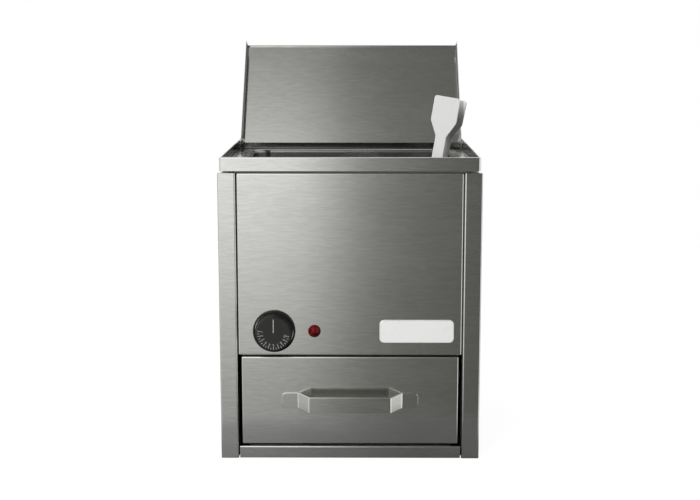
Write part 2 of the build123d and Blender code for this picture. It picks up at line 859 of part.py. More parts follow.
def tongs_frame():
    """Place of the tongs: local +Z along them, local +Y from the front arm to the rear one."""
    lean_of_tongs = Rot(Y=tongs_side_lean) * Rot(X=-tongs_back_lean) * Rot(Z=tongs_turn)
    probe = (lean_of_tongs * tongs_spring_shape()).bounding_box().min.Z
    return Pos(tongs_x, tongs_y, pan_floor + tongs_seat - probe) * lean_of_tongs


def tongs_spring_shape():
    """The bent foot that joins the two arms."""
    outer = tongs_half_gap + tongs_thick / 2
    inner = tongs_half_gap - tongs_thick / 2
    ring = make_face([
        ThreePointArc((-outer, outer), (0, 0), (outer, outer)),
        Line((outer, outer), (inner, outer)),
        ThreePointArc((inner, outer), (0, outer - inner), (-inner, outer)),
        Line((-inner, outer), (-outer, outer)),
    ])
    return extrude(Plane.YZ * ring, amount=tongs_strip / 2, both=True)


def tongs_arm_shape():
    """One arm, standing on its foot: a strip that widens into a flat blade."""
    length = tongs_length - tongs_half_gap - tongs_thick / 2
    neck = length - tongs_blade_length - tongs_shoulder
    shoulder = length - tongs_blade_length
    half_strip = tongs_strip / 2
    half_blade = tongs_blade / 2
    outline = make_face(Polyline(
        (-half_strip, 0), (half_strip, 0), (half_strip, neck), (half_blade, shoulder),
        (half_blade, length), (-half_blade, length), (-half_blade, shoulder), (-half_strip, neck),
        close=True,
    ))
    outline = fillet(outline.vertices().sort_by(Axis.Y)[-2:], tongs_corner)
    bends = [vertex for vertex in outline.vertices() if neck - same_place < vertex.Y < shoulder + same_place]
    outline = fillet(bends, tongs_flow)
    arm = extrude(Plane.XZ * outline, amount=tongs_thick / 2, both=True)
    rim_edges = [edge for edge in arm.edges() if edge.center().Z > same_place
                 and abs(abs(edge.center().Y) - tongs_thick / 2) < same_place]
    return fillet(rim_edges, tongs_edge)


def tongs_pivot():
    """Local middle of the rear arm's foot."""
    return tongs_half_gap, tongs_half_gap + tongs_thick / 2 + tongs_joint_gap


def tongs_front_arm():
    """The arm nearer to the front, with its blade."""
    lift = tongs_thick / 2 * sin(radians(tongs_spread))
    foot = Pos(0, -tongs_half_gap, tongs_half_gap + tongs_thick / 2 + lift)
    arm = foot * Rot(X=tongs_spread) * tongs_arm_shape()
    return tongs_frame() * arm


def tongs_rear_arm():
    """The arm that closes on the front one."""
    y, z = tongs_pivot()
    return tongs_frame() * Pos(0, y, z) * Rot(X=-tongs_spread) * tongs_arm_shape()


def tongs_spring():
    """The foot of the tongs, which springs the arms apart."""
    return tongs_frame() * tongs_spring_shape()


def cable_gland():
    """The inlet at the back: a flange, a grip nut outside and a thread through the panel."""
    gland = run_up(Circle(gland_thread), -gland_inside, gland_hex)
    gland += run_up(hexagon(2 * gland_flange), 0, gland_hex)
    rise = gland_outside - gland_hex
    cone = Cone(gland_cone_low, gland_cone_high, rise)
    gland += Pos(0, 0, gland_hex + rise / 2) * cone
    gland -= Cylinder(gland_bore, 4 * gland_outside)
    return out_of_back(gland_x, gland_z, back - sheet) * gland


def gland_nut():
    """The gland's nut inside the back panel."""
    nut = run_up(hexagon(2 * gland_flange), -gland_nut_height, 0)
    nut -= Cylinder(gland_thread + screw_hole_gap, 4 * gland_nut_height)
    return out_of_back(gland_x, gland_z, back - 2 * sheet) * nut


def terminal_block():
    """Screw terminals for the supply, on the bay's roof."""
    body = block((0, 0, 0), (block_poles * block_pitch, block_depth, block_height))
    top = block_height + tower_rise
    for pole in range(block_poles):
        place = Pos((pole + 0.5) * block_pitch, block_depth / 2)
        tower = RectangleRounded(tower_width, tower_depth, tower_corner)
        body += run_up(place * tower, 0, top)
        for y in (-tower_depth / 4, tower_depth / 4):
            body -= run_up(place * Pos(0, y) * Circle(tower_hole), top - tower_hole_depth, top)
    return Pos(block_x, block_y, panel_bottom) * body


def earth_stud():
    """The earth stud inside the back panel, with its nut."""
    stud = run_up(Circle(earth_radius), -earth_length, 0)
    stud += run_up(hexagon(earth_nut_across), -earth_nut_height, 0)
    return out_of_back(earth_x, earth_z, back - 2 * sheet) * stud


def all_parts():
    """Every node by its name."""
    return {
        "left_side_panel": side_panel(-1),
        "right_side_panel": side_panel(1),
        "front_panel": front_panel(),
        "bottom_rail": bottom_rail(),
        "base_plate": base_plate(),
        "back_panel": back_panel(),
        "back_screws": back_screws(),
        "top_collar": top_collar(),
        "deck_frame": deck_frame(),
        "well_tank": well_tank(),
        "food_pan": food_pan(),
        "heating_element": heating_element(),
        "element_clamps": element_clamps(),
        "clamp_studs": clamp_studs(),
        "overheat_cutout": overheat_cutout(),
        "knob_skirt": knob_skirt(),
        "control_knob": control_knob(),
        "thermostat_shaft": thermostat_shaft(),
        "thermostat_body": thermostat_body(),
        "sensor_capillary": sensor_capillary(),
        "pilot_lens": pilot_lens(),
        "pilot_holder": pilot_holder(),
        "badge_plate": badge_plate(),
        "drawer_front": drawer_front(),
        "drawer_box": drawer_box(),
        "drawer_handle": drawer_handle(),
        "drawer_bay": drawer_bay(),
        "left_drawer_runner": drawer_runner(-1),
        "right_drawer_runner": drawer_runner(1),
        "drawer_stop": drawer_stop(),
        "lid_panel": lid_panel(),
        "lid_pivot_studs": pivot_studs(),
        "lid_pivot_washers": pivot_washers(),
        "lid_pivot_nuts": pivot_nuts(),
        "tongs_front_arm": tongs_front_arm(),
        "tongs_rear_arm": tongs_rear_arm(),
        "tongs_spring": tongs_spring(),
        "cable_gland": cable_gland(),
        "gland_nut": gland_nut(),
        "terminal_block": terminal_block(),
        "earth_stud": earth_stud(),
    }


def main():
    """Write each part and print the values that the joints are stated with."""
    os.makedirs("parts", exist_ok=True)
    for name, shape in all_parts().items():
        export_step(shape, f"parts/{name}.step")
    y, z = tongs_pivot()
    hinge = tongs_frame() * Pos(0, y, z)
    reach = tongs_length - tongs_half_gap - tongs_thick / 2
    open_gap = 2 * (tongs_half_gap + reach * sin(radians(tongs_spread))) - tongs_thick
    squeeze = degrees(asin((open_gap - tongs_closed_gap) / reach))
    print("lid pivot", pivot_y, pivot_z, "shut at", shut_angle)
    print("drawer travel", drawer_travel)
    print("tongs pivot", hinge.position, "axis", hinge.x_axis.direction, "closes by", squeeze)
    print("pan floor", pan_floor, "pan top", pan_top, "tank floor", tank_low)


main()
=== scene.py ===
import math

import bmesh
import bpy
from bpy.props import FloatProperty, FloatVectorProperty, IntProperty, PointerProperty
from mathutils import Matrix, Vector


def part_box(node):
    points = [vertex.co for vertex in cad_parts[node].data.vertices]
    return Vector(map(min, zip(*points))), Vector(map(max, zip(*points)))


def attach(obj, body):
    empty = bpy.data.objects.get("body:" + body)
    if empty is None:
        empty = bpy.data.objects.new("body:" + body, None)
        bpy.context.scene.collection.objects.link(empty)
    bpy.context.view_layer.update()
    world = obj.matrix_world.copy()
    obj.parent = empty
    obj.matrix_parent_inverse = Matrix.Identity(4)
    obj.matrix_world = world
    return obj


bl_info = {
    "name": "Counter-top bun warmer",
    "version": (1, 0, 0),
    "blender": (4, 5, 0),
    "location": "View3D > Sidebar > Bun warmer",
    "description": "Finishes and fine detail for a steel bun warmer with a lid, a pan and a drawer",
    "category": "Add Mesh",
}

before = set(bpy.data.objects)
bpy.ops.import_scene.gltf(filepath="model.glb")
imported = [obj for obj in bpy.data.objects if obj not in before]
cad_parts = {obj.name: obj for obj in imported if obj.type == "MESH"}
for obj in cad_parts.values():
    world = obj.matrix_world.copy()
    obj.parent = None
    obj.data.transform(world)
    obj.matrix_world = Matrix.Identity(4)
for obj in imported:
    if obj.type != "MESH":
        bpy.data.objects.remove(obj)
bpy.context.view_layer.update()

# The dial's middle and face, and the gland's middle, read from the CAD nodes.
skirt_low, skirt_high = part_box("knob_skirt")
gland_low, gland_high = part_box("cable_gland")
DIAL_X = (skirt_low.x + skirt_high.x) / 2
DIAL_Z = (skirt_low.z + skirt_high.z) / 2
DIAL_FACE_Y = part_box("control_knob")[0].y
GLAND_X = (gland_low.x + gland_high.x) / 2
GLAND_Z = (gland_low.z + gland_high.z) / 2

# The collar's rim: its width and its rounded top edge, and the painted shade on the walls inside
# it.
RIM_WIDTH = 0.0042
RIM_EDGE = 0.0018
RECESS_SOFT = 0.0008
RECESS_SHADE = 0.20

# The painted shade on the far edges of the side panels' front bends: its depth, how far it reaches
# in, its tone.
BEND_DEPTH = 0.002
BEND_REACH = 0.0007
BEND_SOFT = 0.0002
BEND_SHADE = 0.2

# The panel's and the drawer front's laps behind their face get a painted shade for the dark of the
# gap.
LAP_START = 0.0018
LAP_DEPTH = 0.003
LAP_SHADE = 0.12

# Painted shade on the lid's hems and on the pan in its well; the drawer's box is darker than the
# casing.
LID_HEM = 0.0034
HEM_EDGE = 0.0004
LEFT_HEM_SHADE = 0.35
RIGHT_HEM_SHADE = 0.75
PAN_SHADE = 0.38
BOX_TONE = 0.95

# The brushed steel: its lines per metre along and across the grain, the streaks' coarser scale,
# the share of each in the tone, the tone's spread and contrast, and how the reflections blur.
LINES_ALONG = 170.0
LINES_ACROSS = 1500.0
STREAK_SCALE = 0.36
LINES_SHARE = 0.25
STREAKS_SHARE = 0.75
STEEL_SPREAD = 0.05
STEEL_CONTRAST = 0.13
STEEL_ANISOTROPY = 0.68
CLOUD_SCALE = 14.0
CLOUD_BLUR = 0.01

# A face whose normal points up or down by more than this counts as level.
LEVEL_NORMAL = 0.72

# The wiping marks: how they lean, how long they are, and which part of their noise shows.
MARKS_LEAN = math.radians(20)
MARKS_SCALE = (10.0, 10.0, 32.0)
MARKS_SPAN = (0.45, 0.75)

# The grain of plastic and of plain metal, their slow unevenness, and how it moves their blur.
PLASTIC_GRAIN = 2200.0
METAL_GRAIN = 900.0
UNEVEN_SCALE = 40.0
PLASTIC_BLUR = 0.04
METAL_BLUR = 0.06

# Most of a noise's values lie between these.
NOISE_RANGE = (0.3, 0.7)

# The colour sockets of a Mix node: two inputs and the output.
MIX_FIRST = 6
MIX_SECOND = 7
MIX_RESULT = 2

# The pilot lens: how the rim's deeper tone is laid on, the two tones and the blur.
LENS_BLEND = 0.35
LENS_RIM_SHARE = 0.8
LENS_UNEVEN_SHARE = 0.2
LENS_LIGHT = 1.25
LENS_DEEP = 0.45
LENS_BLUR = (0.10, 0.18)

# The dial's print: how far it rises, where the pointer ends, and the type size per figure height.
PRINT_RISE = 0.00012
POINTER_END = 0.0205
TEXT_SCALE = 1.35

# The knob's fluted flank gets a painted shade, and its fixed skirt is darker than its printed face.
FLANK_NORMALS = (-0.97, -0.90)
FLANK_SHADE = 0.4
SKIRT_TONE = 0.5

# The badge's domed edge and its painted shade.
BADGE_EDGE = 0.0022
BADGE_EDGE_SHADE = 0.72

# The painted shadow of the front blade on the rear arm's inner face, which ends short of its tip
# and its outer edge.
TIP_SIDE = 0.006
TIP_TOP = 0.006
TIP_SOFT = 0.003
INNER_NORMALS = (0.1, -0.4)
INNER_SHADOW = 0.55

# The gland's conical cap: its height, its radius and lean halfway up, and its grip ribs.
GLAND_CAP = 0.011
GLAND_RADIUS = 0.00775
GLAND_LEAN = math.radians(17.65)
GRIP_RIBS = 12
RIB_LENGTH = 0.0090
RIB_WIDTH = 0.0009
RIB_HEIGHT = 0.0014
RIB_EDGE = 0.0002

# Parts inside the casing: material, colour, roughness and pieces.
INNER_METALS = (
    ("Inner zinc sheet", (0.30, 0.31, 0.31), 0.46,
     ("base_plate", "deck_frame", "well_tank", "drawer_bay", "left_drawer_runner",
      "right_drawer_runner", "drawer_stop", "element_clamps")),
    ("Darkened element", (0.16, 0.15, 0.14), 0.5, ("heating_element",)),
    ("Pressed can", (0.6, 0.6, 0.58), 0.35, ("overheat_cutout",)),
    ("Copper tube", (0.62, 0.30, 0.18), 0.35, ("sensor_capillary",)),
    ("Brass stud", (0.66, 0.48, 0.20), 0.3, ("earth_stud",)),
    ("Turned shaft", (0.5, 0.5, 0.48), 0.25, ("thermostat_shaft",)),
)
INNER_PLASTICS = (
    ("Thermostat case", (0.10, 0.10, 0.11), 0.5, ("thermostat_body",)),
    ("Lamp holder", (0.05, 0.05, 0.05), 0.5, ("pilot_holder",)),
    ("Terminal cream", (0.72, 0.68, 0.58), 0.5, ("terminal_block",)),
)

# Screws, studs, washers and nuts of bright metal.
FASTENERS = ("back_screws", "clamp_studs", "lid_pivot_studs", "lid_pivot_washers",
             "lid_pivot_nuts")

# The white that the floor and the background show to the camera.
WHITE = (1, 1, 1, 1)

# How bright the two sides of the room look in the metal, the backdrop being 1, and how much
# the ceiling's right half adds to the dark room.
LEFT_SIDE = 0.60
RIGHT_SIDE = 0.85
CEILING_GLOW = 0.016

# The soft light at the left is a sharper and a wider glow. Each share fades in across a span of
# the direction's X, the light fades out at the far left, and upwards it spans these heights.
NEAR_SPAN = (0.008, -0.052)
NEAR_SHARE = 0.65
WIDE_SPAN = (0.12, -0.13)
WIDE_SHARE = 0.35
FAR_LEFT_SPAN = (-0.80, -0.50)
LIGHT_FOOT = (math.radians(-24), math.radians(1))
LIGHT_TOP = (math.radians(82.6), math.radians(65.4))

# Where the directions reach the room's two sides, the backdrop and the ceiling.
SIDES_SPAN = (0.45, 0.65)
BACKDROP_SPAN = (-0.05, 0.35)
CEILING_HEIGHTS = (math.radians(40), math.radians(70))
CEILING_SPAN = (-0.05, 0.05)

# The floor: its size and place, its tone, its glow, and where the metal sees it glow.
FLOOR_SCALE = (1.5, 1.0, 1.0)
FLOOR_PLACE = (0.0, 0.64, 0.0)
FLOOR_TONE = 0.096
FLOOR_GLOW = 0.90
FLOOR_SIDES = (0.22, 0.32)
FLOOR_BACK = (0.2, 0.5)
FLOOR_FRONT = (0.12, -0.16)
FLOOR_FRONT_GLOW = 0.11

# The soft lamp.
LAMP_PLACE = Vector((-0.9, -1.7, 1.5))
LAMP_TARGET = Vector((0, 0, 0.25))
LAMP_SIZE = 1.4


class WarmerFinish(bpy.types.PropertyGroup):
    """Colours and surface qualities of the finishes."""

    steel_tone: FloatVectorProperty(
        name="Steel tone", description="Colour of the brushed steel", subtype="COLOR",
        default=(0.74, 0.74, 0.717), min=0, max=1)
    steel_roughness: FloatProperty(
        name="Steel roughness", description="Blur of the reflections in the casing",
        default=0.14, min=0, max=1, subtype="FACTOR")
    brush_fineness: FloatProperty(
        name="Brush lines", description="Brush lines per metre across the grain",
        default=LINES_ACROSS, min=100, max=5000)
    dial_tone: FloatVectorProperty(
        name="Dial tone", description="Colour of the dial and its skirt", subtype="COLOR",
        default=(0.028, 0.028, 0.027), min=0, max=1)
    print_tone: FloatVectorProperty(
        name="Print tone", description="Colour of the figures and the pointer", subtype="COLOR",
        default=(0.34, 0.34, 0.33), min=0, max=1)
    lens_tone: FloatVectorProperty(
        name="Lens tone", description="Colour of the pilot lamp", subtype="COLOR",
        default=(0.078, 0.002, 0.003), min=0, max=1)
    badge_tone: FloatVectorProperty(
        name="Badge tone", description="Colour of the plain badge plate", subtype="COLOR",
        default=(0.78, 0.78, 0.775), min=0, max=1)
    tongs_tone: FloatVectorProperty(
        name="Tongs tone", description="Colour of the moulded tongs", subtype="COLOR",
        default=(0.52, 0.52, 0.51), min=0, max=1)


class WarmerDial(bpy.types.PropertyGroup):
    """Sizes of what is printed on the dial."""

    pointer_length: FloatProperty(
        name="Pointer length", description="Length of the printed line", unit="LENGTH",
        default=0.0190, min=0.001, max=0.05)
    pointer_width: FloatProperty(
        name="Pointer width", description="Width of the printed line", unit="LENGTH",
        default=0.0012, min=0.0002, max=0.01)
    tick_radius: FloatProperty(
        name="Tick radius", description="Outer end of the ticks", unit="LENGTH",
        default=0.0222, min=0.001, max=0.05)
    long_tick: FloatProperty(
        name="Long tick", description="Length of a tick at a figure", unit="LENGTH",
        default=0.0042, min=0.0002, max=0.02)
    short_tick: FloatProperty(
        name="Short tick", description="Length of a tick between figures", unit="LENGTH",
        default=0.0027, min=0.0002, max=0.02)
    tick_width: FloatProperty(
        name="Tick width", description="Width of a tick", unit="LENGTH",
        default=0.0007, min=0.0002, max=0.005)
    figures: IntProperty(
        name="Figures", description="How many figures the scale has", default=10, min=2, max=20)
    first_angle: FloatProperty(
        name="First figure", description="Clockwise angle of the first figure from the pointer",
        subtype="ANGLE", default=math.radians(281), min=0, max=math.tau)
    last_angle: FloatProperty(
        name="Last figure", description="Clockwise angle of the last figure from the pointer",
        subtype="ANGLE", default=math.radians(99), min=0, max=math.tau)
    figure_height: FloatProperty(
        name="Figure height", description="Height of a figure", unit="LENGTH",
        default=0.0036, min=0.001, max=0.01)
    figure_radius: FloatProperty(
        name="Figure radius", description="Distance of a figure's middle from the dial's middle",
        unit="LENGTH", default=0.0160, min=0.001, max=0.05)


class WarmerStage(bpy.types.PropertyGroup):
    """Camera and light of the stage."""

    camera_place: FloatVectorProperty(
        name="Camera place", description="Where the camera stands", subtype="TRANSLATION",
        default=(0.012, -1.966, 0.6043))
    camera_pitch: FloatProperty(
        name="Camera pitch", description="How far the camera looks down", subtype="ANGLE",
        default=math.radians(9.55))
    camera_yaw: FloatProperty(
        name="Camera yaw", description="How far the camera looks to the left", subtype="ANGLE",
        default=math.radians(0.38))
    camera_lens: FloatProperty(
        name="Focal length", description="Focal length in millimetres",
        default=68.25, min=10, max=300)
    room_tone: FloatVectorProperty(
        name="Room tone", description="Colour of the dim side of the room", subtype="COLOR",
        default=(0.104, 0.106, 0.097), min=0, max=1)
    window_strength: FloatProperty(
        name="Soft light", description="Brightness of the wide soft light at the left",
        default=1.15, min=0, max=30)
    backdrop_strength: FloatProperty(
        name="Backdrop", description="Brightness of the pale backdrop as the metal shows it",
        default=1.0, min=0, max=20)
    lamp_power: FloatProperty(
        name="Lamp power", description="Power of the soft lamp in watts",
        default=52.0, min=0, max=500)


# Shared node helpers and groups

def node(tree, kind, **values):
    """Add a shader node and set its attributes."""
    made = tree.nodes.new(kind)
    for name, value in values.items():
        setattr(made, name, value)
    return made


def feed(tree, inlet, value):
    """Link a socket to an inlet, or set the inlet to a number or a colour."""
    if isinstance(value, bpy.types.NodeSocket):
        tree.links.new(value, inlet)
    else:
        inlet.default_value = value


def math_node(tree, operation, *values):
    """Add a Math node; a value may be a socket or a number."""
    made = node(tree, "ShaderNodeMath", operation=operation)
    for inlet, value in zip(made.inputs, values):
        feed(tree, inlet, value)
    return made.outputs[0]


def mix_colours(tree, share, first, second, blend_type="MIX"):
    """Mix two colours; the share and each colour may be a socket or a value."""
    mixed = node(tree, "ShaderNodeMix", data_type="RGBA", blend_type=blend_type)
    for index, value in ((0, share), (MIX_FIRST, first), (MIX_SECOND, second)):
        feed(tree, mixed.inputs[index], value)
    return mixed.outputs[MIX_RESULT]


def plus(tree, first, second):
    """The sum of two sockets or numbers."""
    return math_node(tree, "ADD", first, second)


def times(tree, first, second):
    """The product of two sockets or numbers."""
    return math_node(tree, "MULTIPLY", first, second)


def larger(tree, first, second):
    """The larger of two sockets or numbers."""
    return math_node(tree, "MAXIMUM", first, second)


def inverse(tree, mask):
    """A mask turned round."""
    return math_node(tree, "SUBTRACT", 1.0, mask)


def split(tree, vector):
    """The X, Y and Z outputs of a vector socket."""
    parts = node(tree, "ShaderNodeSeparateXYZ")
    tree.links.new(vector, parts.inputs[0])
    return parts.outputs


def join(tree, **sockets):
    """A vector socket made of float sockets; the rest is 0."""
    joined = node(tree, "ShaderNodeCombineXYZ")
    for axis, socket in sockets.items():
        tree.links.new(socket, joined.inputs[axis])
    return joined.outputs[0]


def normal_parts(tree):
    """The X, Y and Z outputs of the surface's normal."""
    return split(tree, node(tree, "ShaderNodeNewGeometry").outputs["Normal"])


def fade(tree, value, start, end):
    """A mask that rises smoothly from 0 at start to 1 at end."""
    span = node(tree, "ShaderNodeMapRange", interpolation_type="SMOOTHSTEP")
    span.inputs["From Min"].default_value = start
    span.inputs["From Max"].default_value = end
    tree.links.new(value, span.inputs["Value"])
    return span.outputs[0]


def both_sides(tree, value, start, end):
    """A mask that rises from the middle towards a pale tone on each side."""
    left = times(tree, fade(tree, value, -start, -end), LEFT_SIDE)
    right = times(tree, fade(tree, value, start, end), RIGHT_SIDE)
    return plus(tree, left, right)


def new_group(name, inputs, outputs):
    """Start a shader node group with float or vector sockets; gives the tree and both ends."""
    tree = bpy.data.node_groups.new(name, "ShaderNodeTree")
    for label, kind, value in inputs:
        made = tree.interface.new_socket(label, in_out="INPUT", socket_type=kind)
        if value is not None:
            made.default_value = value
    for label, kind in outputs:
        tree.interface.new_socket(label, in_out="OUTPUT", socket_type=kind)
    return tree, node(tree, "NodeGroupInput"), node(tree, "NodeGroupOutput")


def noise(tree, vector, scale, detail=3.0, roughness=0.55):
    """Add a Noise texture on a vector socket."""
    made = node(tree, "ShaderNodeTexNoise")
    made.inputs["Scale"].default_value = scale
    made.inputs["Detail"].default_value = detail
    made.inputs["Roughness"].default_value = roughness
    tree.links.new(vector, made.inputs["Vector"])
    return made.outputs["Fac"]


def level_faces(tree):
    """A mask that is 1 on faces that lie level or nearly so."""
    steepness = math_node(tree, "ABSOLUTE", normal_parts(tree)["Z"])
    return math_node(tree, "GREATER_THAN", steepness, LEVEL_NORMAL)


def brush_group():
    """Brush lines: level lines on upright faces, lines along X on level faces."""
    tree, ends_in, ends_out = new_group(
        "Brush lines",
        [("Vector", "NodeSocketVector", None), ("Along", "NodeSocketFloat", LINES_ALONG),
         ("Across", "NodeSocketFloat", LINES_ACROSS)],
        [("Lines", "NodeSocketFloat"), ("Streaks", "NodeSocketFloat"),
         ("Clouds", "NodeSocketFloat")])
    place = ends_in.outputs["Vector"]
    parts = split(tree, place)
    along, across = ends_in.outputs["Along"], ends_in.outputs["Across"]
    level = level_faces(tree)
    spread = math_node(tree, "SUBTRACT", across, along)
    scale_y = plus(tree, along, times(tree, spread, level))
    scale_z = plus(tree, along, times(tree, spread, inverse(tree, level)))
    stretched = join(tree, X=times(tree, parts["X"], along), Y=times(tree, parts["Y"], scale_y),
                     Z=times(tree, parts["Z"], scale_z))
    lines = noise(tree, stretched, scale=1.0, detail=2.0, roughness=0.5)
    streaks = noise(tree, stretched, scale=STREAK_SCALE, detail=2.0, roughness=0.6)
    clouds = noise(tree, place, scale=CLOUD_SCALE, detail=3.0, roughness=0.5)
    for label, pattern in (("Lines", lines), ("Streaks", streaks), ("Clouds", clouds)):
        tree.links.new(pattern, ends_out.inputs[label])
    return tree


def grain_group():
    """Fine moulded grain and a slow unevenness for plastics and cast surfaces."""
    tree, ends_in, ends_out = new_group(
        "Moulded grain",
        [("Vector", "NodeSocketVector", None), ("Fineness", "NodeSocketFloat", PLASTIC_GRAIN)],
        [("Grain", "NodeSocketFloat"), ("Uneven", "NodeSocketFloat")])
    place = ends_in.outputs["Vector"]
    fine = node(tree, "ShaderNodeTexNoise")
    fine.inputs["Detail"].default_value = 3.0
    tree.links.new(place, fine.inputs["Vector"])
    tree.links.new(ends_in.outputs["Fineness"], fine.inputs["Scale"])
    tree.links.new(fine.outputs["Fac"], ends_out.inputs["Grain"])
    tree.links.new(noise(tree, place, UNEVEN_SCALE), ends_out.inputs["Uneven"])
    return tree


def marks_group():
    """Faint smears left by handling and wiping."""
    tree, ends_in, ends_out = new_group(
        "Wiping marks", [("Vector", "NodeSocketVector", None)], [("Marks", "NodeSocketFloat")])
    stretch = node(tree, "ShaderNodeMapping")
    stretch.inputs["Rotation"].default_value = (0.0, MARKS_LEAN, 0.0)
    stretch.inputs["Scale"].default_value = MARKS_SCALE
    tree.links.new(ends_in.outputs["Vector"], stretch.inputs["Vector"])
    smear = noise(tree, stretch.outputs[0], scale=1.0, detail=4.0, roughness=0.6)
    tree.links.new(fade(tree, smear, *MARKS_SPAN), ends_out.inputs["Marks"])
    return tree


def use_group(tree, group, vector, **values):
    """Place a shared group in a material."""
    made = node(tree, "ShaderNodeGroup", node_tree=group)
    tree.links.new(vector, made.inputs["Vector"])
    for label, value in values.items():
        made.inputs[label].default_value = value
    return made


def two_tone(tree, mask, low, high, spread=0.25):
    """A colour that moves between two tones with a mask, over a spread on each side of 0.5."""
    ramp = node(tree, "ShaderNodeValToRGB")
    ramp.color_ramp.elements[0].position = 0.5 - spread
    ramp.color_ramp.elements[1].position = 0.5 + spread
    ramp.color_ramp.elements[0].color = (*low, 1)
    ramp.color_ramp.elements[1].color = (*high, 1)
    tree.links.new(mask, ramp.inputs[0])
    return ramp.outputs[0]


def remap(tree, mask, low, high):
    """A value that moves between two numbers with a noise."""
    span = node(tree, "ShaderNodeMapRange")
    span.inputs["From Min"].default_value = NOISE_RANGE[0]
    span.inputs["From Max"].default_value = NOISE_RANGE[1]
    span.inputs["To Min"].default_value = low
    span.inputs["To Max"].default_value = high
    tree.links.new(mask, span.inputs["Value"])
    return span.outputs[0]


def tone(colour, factor):
    """A colour made lighter or darker."""
    return tuple(min(1.0, channel * factor) for channel in colour)


def opened(material):
    """The tree, the shader and the Object coordinates of a material that start_material made."""
    tree = material.node_tree
    place = tree.nodes["Texture Coordinate"].outputs["Object"]
    return tree, tree.nodes["Principled BSDF"], place


def start_material(name):
    """A new node material; gives the material, its tree, its shader and the Object coordinates."""
    material = bpy.data.materials.new(name)
    material.use_nodes = True
    node(material.node_tree, "ShaderNodeTexCoord")
    return material, *opened(material)


def add_bump(tree, shader, height, strength, distance):
    """Let a height socket disturb the shader's normal."""
    bump = node(tree, "ShaderNodeBump")
    bump.inputs["Strength"].default_value = strength
    bump.inputs["Distance"].default_value = distance
    tree.links.new(height, bump.inputs["Height"])
    tree.links.new(bump.outputs[0], shader.inputs["Normal"])


def within(tree, place, low, high, soft):
    """A mask that is 1 inside a box and falls off softly outside it."""
    parts = split(tree, place)
    mask = None
    for axis, start, end in zip("XYZ", low, high):
        sides = times(tree, fade(tree, parts[axis], start - soft, start),
                      fade(tree, parts[axis], end + soft, end))
        mask = sides if mask is None else times(tree, mask, sides)
    return mask


def shade(tree, shader, mask, factor):
    """Multiply the base colour by a factor where a mask is 1."""
    colour = shader.inputs["Base Color"]
    plain = colour.links[0].from_socket
    shaded = mix_colours(tree, mask, plain, (factor, factor, factor, 1), "MULTIPLY")
    tree.links.new(shaded, colour)


def across_the_lines(tree):
    """Direction across the brush lines: up on upright faces, along Y on level ones."""
    level = level_faces(tree)
    return join(tree, Y=level, Z=inverse(tree, level))


def brushed_steel(name, groups, colour, roughness, across, bump=0.03, marks=0.03):
    """Brushed sheet steel with level brush lines, soft streaks and wiping marks."""
    material, tree, shader, place = start_material(name)
    lines = use_group(tree, groups["brush"], place, Across=across)
    wiped = use_group(tree, groups["marks"], place)
    mixed = plus(tree, times(tree, lines.outputs["Lines"], LINES_SHARE),
                 times(tree, lines.outputs["Streaks"], STREAKS_SHARE))
    low, high = tone(colour, 1 - STEEL_SPREAD), tone(colour, 1 + STEEL_SPREAD)
    tree.links.new(two_tone(tree, mixed, low, high, STEEL_CONTRAST), shader.inputs["Base Color"])
    base = remap(tree, lines.outputs["Clouds"], roughness - CLOUD_BLUR, roughness + CLOUD_BLUR)
    smeared = times(tree, wiped.outputs["Marks"], marks)
    tree.links.new(plus(tree, base, smeared), shader.inputs["Roughness"])
    shader.inputs["Metallic"].default_value = 1.0
    shader.inputs["Anisotropic"].default_value = STEEL_ANISOTROPY
    tree.links.new(across_the_lines(tree), shader.inputs["Tangent"])
    add_bump(tree, shader, lines.outputs["Lines"], bump, distance=0.00003)
    return material


def dull_metal(name, groups, colour, roughness, low=0.85, high=1.12):
    """Plain zinc-coated or cast metal with a clouded surface."""
    material, tree, shader, place = start_material(name)
    grain = use_group(tree, groups["grain"], place, Fineness=METAL_GRAIN)
    uneven = grain.outputs["Uneven"]
    tree.links.new(two_tone(tree, uneven, tone(colour, low), tone(colour, high)),
                   shader.inputs["Base Color"])
    tree.links.new(remap(tree, uneven, roughness - METAL_BLUR, roughness + METAL_BLUR),
                   shader.inputs["Roughness"])
    shader.inputs["Metallic"].default_value = 1.0
    add_bump(tree, shader, grain.outputs["Grain"], strength=0.15, distance=0.00005)
    return material


def moulded_plastic(name, groups, colour, roughness, fineness=PLASTIC_GRAIN, bump=0.2,
                    spread=0.08, shine=0.5):
    """Moulded plastic with a fine grain."""
    material, tree, shader, place = start_material(name)
    grain = use_group(tree, groups["grain"], place, Fineness=fineness)
    uneven = grain.outputs["Uneven"]
    tree.links.new(two_tone(tree, uneven, tone(colour, 1 - spread), tone(colour, 1 + spread)),
                   shader.inputs["Base Color"])
    tree.links.new(remap(tree, uneven, roughness - PLASTIC_BLUR, roughness + PLASTIC_BLUR),
                   shader.inputs["Roughness"])
    shader.inputs["Specular IOR Level"].default_value = shine
    add_bump(tree, shader, grain.outputs["Grain"], bump, distance=0.00004)
    return material


def lens_plastic(name, groups, colour):
    """Clear-coated coloured lens, deeper in tone towards its rim."""
    material, tree, shader, place = start_material(name)
    rim = node(tree, "ShaderNodeLayerWeight")
    rim.inputs["Blend"].default_value = LENS_BLEND
    uneven = use_group(tree, groups["grain"], place).outputs["Uneven"]
    mixed = plus(tree, times(tree, rim.outputs["Facing"], LENS_RIM_SHARE),
                 times(tree, uneven, LENS_UNEVEN_SHARE))
    tree.links.new(two_tone(tree, mixed, tone(colour, LENS_LIGHT), tone(colour, LENS_DEEP)),
                   shader.inputs["Base Color"])
    tree.links.new(remap(tree, uneven, *LENS_BLUR), shader.inputs["Roughness"])
    shader.inputs["Coat Weight"].default_value = 0.25
    shader.inputs["Specular IOR Level"].default_value = 0.05
    shader.inputs["Coat Roughness"].default_value = 0.05
    return material


def dress(material, *names):
    """Give a material to CAD nodes."""
    for name in names:
        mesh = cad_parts[name].data
        mesh.materials.clear()
        mesh.materials.append(material)


